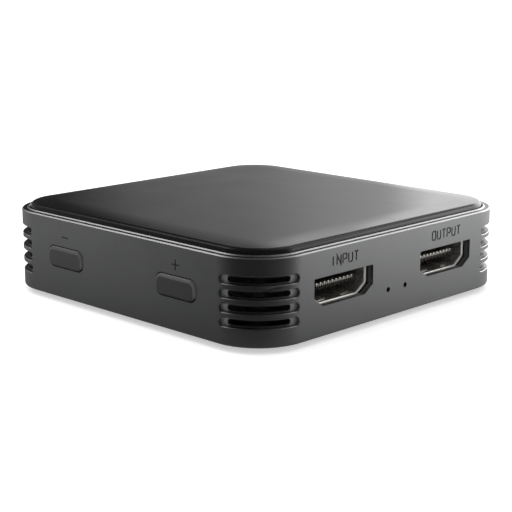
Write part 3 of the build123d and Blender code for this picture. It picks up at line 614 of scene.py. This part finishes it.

# The rim has no grain, so the height about the grain's middle goes to nothing there
grain_middle = 0.5
skin_height = tree.nodes["Bump"].inputs["Height"]
grain_height = math_node(tree, "SUBTRACT", skin_height.links[0].from_socket, grain_middle)
off_rim = math_node(tree, "SUBTRACT", 1, rim)
tree.links.new(math_node(tree, "MULTIPLY", grain_height, off_rim), skin_height)
dress(case_spray, "side_frame")

# Buttons: the same moulded plastic and spray as the frame, a little darker, pushed in from inside.
# Their upper and end edges are painted pale and less metallic, as a painted highlight.
button_spray = finish_material(
    "button_spray",
    (0.125, 0.126, 0.128),
    (0.14, 0.141, 0.143),
    roughness=spray_roughness,
    grains=spray_grains,
    depth=spray_depth,
    metallic=spray_metal,
)
tree = button_spray.node_tree
x, y, z = coordinates(tree)
button_low, button_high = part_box("minus_button")
button_place = (button_low.y + button_high.y) / 2
button_level = 8.5 * mm
flat_length, flat_height = 3.5 * mm, 0.425 * mm
edge_start = 1.05 * mm
highlight_foot, highlight_blend = 7.3 * mm, 0.6 * mm
from_flat = from_rectangle(
    tree, (distance(tree, y, 0), button_place, flat_length), (z, button_level, flat_height)
)
edge_highlight = all_of(
    tree,
    above(tree, from_flat, edge_start, soft_edge),
    above(tree, z, highlight_foot, highlight_blend),
)
# Painted highlight on the buttons' upper and end edges
paint_over(button_spray, edge_highlight, (0.1, 0.1, 0.1), metallic=0.1)
dress(button_spray, "plus_button", "minus_button")

# Adhesive ring: a die-cut black foam tape between the frame's seat and the cover. It holds the
# cover and can't be seen once the box is closed.
foam_tape = finish_material(
    "foam_tape",
    (0.012, 0.012, 0.012),
    (0.02, 0.02, 0.02),
    roughness=0.85,
    grains=3000,
    depth=0.04 * mm,
    smears=0.0,
)
dress(foam_tape, "cover_tape")

# Top cover: pressed aluminium with a rolled edge and a very low crown, anodised in a smooth grey so
# dark that it shows mostly by its gloss. It is bonded to the ring, with a narrow gap to the rim.
cover_low, cover_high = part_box("top_cover")
cover_corner = 8.05 * mm
edge_roll = 1.0 * mm
crown_rise = 0.3 * mm
crown_width = 5.0 * mm
lip_width = 2.0 * mm
cover_plate = 1.2 * mm
cover_mesh = bmesh.new()
bmesh.ops.create_grid(cover_mesh, x_segments=1, y_segments=1, size=0.5)
bmesh.ops.scale(cover_mesh, verts=cover_mesh.verts, vec=(cover_high - cover_low)[:2] + (1,))
bmesh.ops.translate(cover_mesh, verts=cover_mesh.verts, vec=(0, 0, cover_low.z))
bmesh.ops.bevel(
    cover_mesh,
    geom=cover_mesh.verts[:],
    offset=cover_corner,
    offset_type="OFFSET",
    segments=24,
    profile=0.5,
    affect="VERTICES",
    material=-1,
)
cover_mesh.faces.ensure_lookup_table()
underside = cover_mesh.faces[0]
grown = bmesh.ops.extrude_face_region(cover_mesh, geom=[underside], use_keep_orig=True)
top_face = next(item for item in grown["geom"] if isinstance(item, bmesh.types.BMFace))
cover_crest = cover_high.z - crown_rise
bmesh.ops.translate(
    cover_mesh, verts=top_face.verts, vec=(0, 0, cover_crest - edge_roll - cover_low.z)
)


# The rolled edge and then the crown are rings, each inset from the last and lifted
def ring(face, thickness, rise):
    bmesh.ops.inset_region(cover_mesh, faces=[face], thickness=thickness, use_even_offset=True)
    bmesh.ops.translate(cover_mesh, verts=face.verts, vec=(0, 0, rise))


roll_steps = 10
for step in range(roll_steps):
    start, end = pi / 2 * step / roll_steps, pi / 2 * (step + 1) / roll_steps
    ring(top_face, edge_roll * (cos(start) - cos(end)), edge_roll * (sin(end) - sin(start)))
crown_steps = 12
for step in range(crown_steps):
    start, end = step / crown_steps, (step + 1) / crown_steps
    rise = crown_rise * ((2 * end - end * end) - (2 * start - start * start))
    ring(top_face, crown_width / crown_steps, rise)

# The underside is hollow inside a plain lip, so the plate is as thick as pressed sheet
if underside.normal.z > 0:
    underside.normal_flip()
bmesh.ops.inset_region(cover_mesh, faces=[underside], thickness=lip_width, use_even_offset=True)
recess = bmesh.ops.extrude_face_region(cover_mesh, geom=[underside])
recess_face = next(item for item in recess["geom"] if isinstance(item, bmesh.types.BMFace))
bmesh.ops.translate(
    cover_mesh, verts=recess_face.verts, vec=(0, 0, cover_crest - cover_plate - cover_low.z)
)
bmesh.ops.delete(cover_mesh, geom=[underside], context="FACES_ONLY")
bmesh.ops.recalc_face_normals(cover_mesh, faces=cover_mesh.faces)
cover_data = bpy.data.meshes.new("pressed_cover")
cover_mesh.to_mesh(cover_data)
cover_mesh.free()
cover_data.shade_smooth()
cover_data.set_sharp_from_angle(angle=radians(40))
pressed_cover = bpy.data.objects.new("pressed_cover", cover_data)
bpy.context.scene.collection.objects.link(pressed_cover)
cover_metal = finish_material(
    "cover_anodised",
    (0.006, 0.006, 0.0065),
    (0.008, 0.008, 0.0085),
    roughness=0.2,
    grains=12000,
    depth=0.002 * mm,
    smears=0.03,
    specular=0.36,
)
cover_data.materials.append(cover_metal)
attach(pressed_cover, "case")
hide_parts("top_cover")


# Studio floor: a plain pale board that the box stands on. It keeps the box's soft shadow, and the
# camera sees it a little lifted, as near to white as the room.
def stage_mesh(name, mesh):
    data = bpy.data.meshes.new(name)
    mesh.to_mesh(data)
    mesh.free()
    made = bpy.data.objects.new(name, data)
    bpy.context.scene.collection.objects.link(made)
    return made


# A backdrop's glow is seen, but isn't sampled as a lamp
def backdrop_material(name):
    material = bpy.data.materials.new(name)
    material.use_nodes = True
    material.cycles.emission_sampling = "NONE"
    return material, material.node_tree


floor_width = 12
floor_level = -0.2 * mm
floor_mesh = bmesh.new()
bmesh.ops.create_grid(floor_mesh, x_segments=1, y_segments=1, size=floor_width / 2)
bmesh.ops.translate(floor_mesh, verts=floor_mesh.verts, vec=(0, 0, floor_level))
floor = stage_mesh("studio_floor", floor_mesh)
floor_paint, tree = backdrop_material("floor_paint")
paint = tree.nodes["Principled BSDF"]
paint.inputs["Roughness"].default_value = 0.9
paint.inputs["Specular IOR Level"].default_value = 0.1
floor_place = tree.nodes.new("ShaderNodeTexCoord").outputs["Object"]
tree.links.new(
    mix_colour(tree, noise(tree, floor_place, 30, 4), (0.86, 0.86, 0.86), (0.9, 0.9, 0.9)),
    paint.inputs["Base Color"],
)
background_lift = 0.5
seen = tree.nodes.new("ShaderNodeLightPath")
lift = tree.nodes.new("ShaderNodeEmission")
tree.links.new(
    math_node(tree, "MULTIPLY", seen.outputs["Is Camera Ray"], background_lift),
    lift.inputs["Strength"],
)
both = tree.nodes.new("ShaderNodeAddShader")
tree.links.new(paint.outputs["BSDF"], both.inputs[0])
tree.links.new(lift.outputs["Emission"], both.inputs[1])
rightwards = (0.707, -0.707, 0)
nearwards = (-0.707, -0.707, 0)


def toward(tree, place, direction):
    node = tree.nodes.new("ShaderNodeVectorMath")
    node.operation = "DOT_PRODUCT"
    tree.links.new(place, node.inputs[0])
    node.inputs[1].default_value = direction
    return node.outputs["Value"]


# In reflections the floor is a painted glow: darkest before the near corner, as painted shade, and palest
# on the right
right_reach, right_start, right_bend, right_strength = 0.18, 0.12, 1.25, 2.2
left_reach, left_start, left_strength = 0.12, 0.08, 0.56
near_start, near_end, near_share = 0.044, 0.07, 0.08
rightward = toward(tree, floor_place, rightwards)
right_pale = remap(tree, rightward, 0, right_reach, right_start, 1)
right_pale = math_node(tree, "POWER", right_pale, right_bend)
right_pale = math_node(tree, "MULTIPLY", right_pale, right_strength)
left_pale = remap(tree, rightward, 0, -left_reach, left_start, left_strength)
pale = math_node(tree, "MAXIMUM", right_pale, left_pale)
corner_shade = remap(
    tree, toward(tree, floor_place, nearwards), near_start, near_end, 1, near_share
)
glow = tree.nodes.new("ShaderNodeEmission")
tree.links.new(math_node(tree, "MULTIPLY", pale, corner_shade), glow.inputs["Strength"])
choose = tree.nodes.new("ShaderNodeMixShader")
tree.links.new(seen.outputs["Is Glossy Ray"], choose.inputs["Fac"])
tree.links.new(both.outputs["Shader"], choose.inputs[1])
tree.links.new(glow.outputs["Emission"], choose.inputs[2])
tree.links.new(choose.outputs["Shader"], tree.nodes["Material Output"].inputs["Surface"])
floor.data.materials.append(floor_paint)

# Light tent: a cloth dome that stands on the floor round the box. Only reflections show it, pale on
# the right and dark behind the camera.
tent_radius = 0.9
tent_mesh = bmesh.new()
bmesh.ops.create_uvsphere(tent_mesh, u_segments=48, v_segments=24, radius=tent_radius)
bmesh.ops.bisect_plane(
    tent_mesh,
    geom=tent_mesh.verts[:] + tent_mesh.edges[:] + tent_mesh.faces[:],
    plane_co=(0, 0, 0),
    plane_no=(0, 0, 1),
    clear_inner=True,
)
tent = stage_mesh("light_tent", tent_mesh)
tent.visible_camera = tent.visible_diffuse = tent.visible_transmission = tent.visible_shadow = False
tent_cloth, tree = backdrop_material("tent_cloth")
tree.nodes.remove(tree.nodes["Principled BSDF"])
unit = tree.nodes.new("ShaderNodeVectorMath")
unit.operation = "NORMALIZE"
tree.links.new(tree.nodes.new("ShaderNodeTexCoord").outputs["Object"], unit.inputs[0])
rightward = toward(tree, unit.outputs["Vector"], rightwards)
nearward = toward(tree, unit.outputs["Vector"], nearwards)
upward = toward(tree, unit.outputs["Vector"], (0, 0, 1))

# Each stop of the sweep is how far to the right it lies, from -1 to 1, and how pale the cloth is there
palest = 4
end_stops = ((-0.9, 0.3), (0.9, 3))
middle_stops = (
    (-0.3, 0.05), (-0.19, 0.04), (-0.15, 0.15), (-0.11, 0.27), (-0.05, 0.34), (0.02, 0.41),
    (0.085, 0.57), (0.145, 0.68), (0.18, 1.7), (0.35, 2), (0.55, 3), (0.75, 3.6),
)
sweep = tree.nodes.new("ShaderNodeValToRGB")
tree.links.new(remap(tree, rightward, -1, 1, 0, 1), sweep.inputs["Fac"])
stops = sweep.color_ramp.elements
for (spot, level), stop in zip(end_stops, stops):
    stop.position, stop.color = (spot + 1) / 2, (level / palest,) * 3 + (1,)
for spot, level in middle_stops:
    stops.new((spot + 1) / 2).color = (level / palest,) * 3 + (1,)

# Higher up the right half is paler still, the roof is dim, and it all darkens towards the camera
high_start, high_full, high_glow = 0.24, 0.4, 1.1
right_half_full = 0.08
roof_start, roof_full, roof_share = 0.42, 0.56, 0.15
camera_side, camera_share = 0.25, 0.03
high = all_of(
    tree,
    remap(tree, upward, high_start, high_full, 0, high_glow),
    remap(tree, rightward, 0, right_half_full, 0, 1),
)
pale = math_node(tree, "ADD", math_node(tree, "MULTIPLY", sweep.outputs["Color"], palest), high)
pale = all_of(
    tree,
    pale,
    remap(tree, upward, roof_start, roof_full, 1, roof_share),
    remap(tree, nearward, -camera_side, camera_side, 1, camera_share),
)
glow = tree.nodes.new("ShaderNodeEmission")
tree.links.new(pale, glow.inputs["Strength"])
tree.links.new(glow.outputs["Emission"], tree.nodes["Material Output"].inputs["Surface"])
tent.data.materials.append(tent_cloth)

# Room: even white air round the tent. It lights the box softly, and where it is seen or reflected
# it is plain white.
room_light = 0.75
plain_white = 1.0
world = bpy.data.worlds.new("studio_room")
bpy.context.scene.world = world
world.use_nodes = True
tree = world.node_tree
air = tree.nodes["Background"]
air.inputs["Color"].default_value = (1, 1, 1, 1)
seen = tree.nodes.new("ShaderNodeLightPath")
plain_view = math_node(
    tree,
    "MAXIMUM",
    seen.outputs["Is Camera Ray"],
    math_node(tree, "MAXIMUM", seen.outputs["Is Glossy Ray"], seen.outputs["Is Transmission Ray"]),
)
tree.links.new(remap(tree, plain_view, 0, 1, room_light, plain_white), air.inputs["Strength"])

# Lights: three square softboxes on stands, all turned to the box. The one overhead leaves no
# reflection of its own.
box_middle = Vector((0, 0, 8 * mm))


def softbox(name, width, place, power):
    light = bpy.data.lights.new(name, "AREA")
    light.shape = "SQUARE"
    light.size = width
    light.energy = power
    lamp = bpy.data.objects.new(name, light)
    lamp.location = place
    lamp.rotation_euler = (box_middle - Vector(place)).to_track_quat("-Z", "Y").to_euler()
    lamp.visible_camera = False
    bpy.context.scene.collection.objects.link(lamp)
    return lamp


top_light = softbox("top_light", width=0.6, place=(0.1, 0.15, 0.8), power=2)
top_light.visible_glossy = False
softbox("right_light", width=0.3, place=(0.62, -0.2, 0.61), power=0.3)
softbox("left_light", width=0.3, place=(-0.2, 0.62, 0.62), power=1.1)

# Camera: a long lens at the photograph's viewing angle, a little above the box and turned to the
# corner between the buttons and the sockets.
camera_place = (-0.17543, -0.17188, 0.0631)
view_turn, view_pitch = radians(44.432), radians(13.129)
sight = Vector(
    (cos(view_turn) * cos(view_pitch), sin(view_turn) * cos(view_pitch), -sin(view_pitch))
)
camera_data = bpy.data.cameras.new("camera")
camera_data.sensor_width = 36
camera_data.lens = 90.12
camera_data.clip_start = 0.01
camera_data.clip_end = 50
camera = bpy.data.objects.new("camera", camera_data)
camera.location = camera_place
camera.rotation_euler = sight.to_track_quat("-Z", "Y").to_euler()
bpy.context.scene.collection.objects.link(camera)
bpy.context.scene.camera = camera
bpy.context.scene.view_settings.view_transform = "Standard"
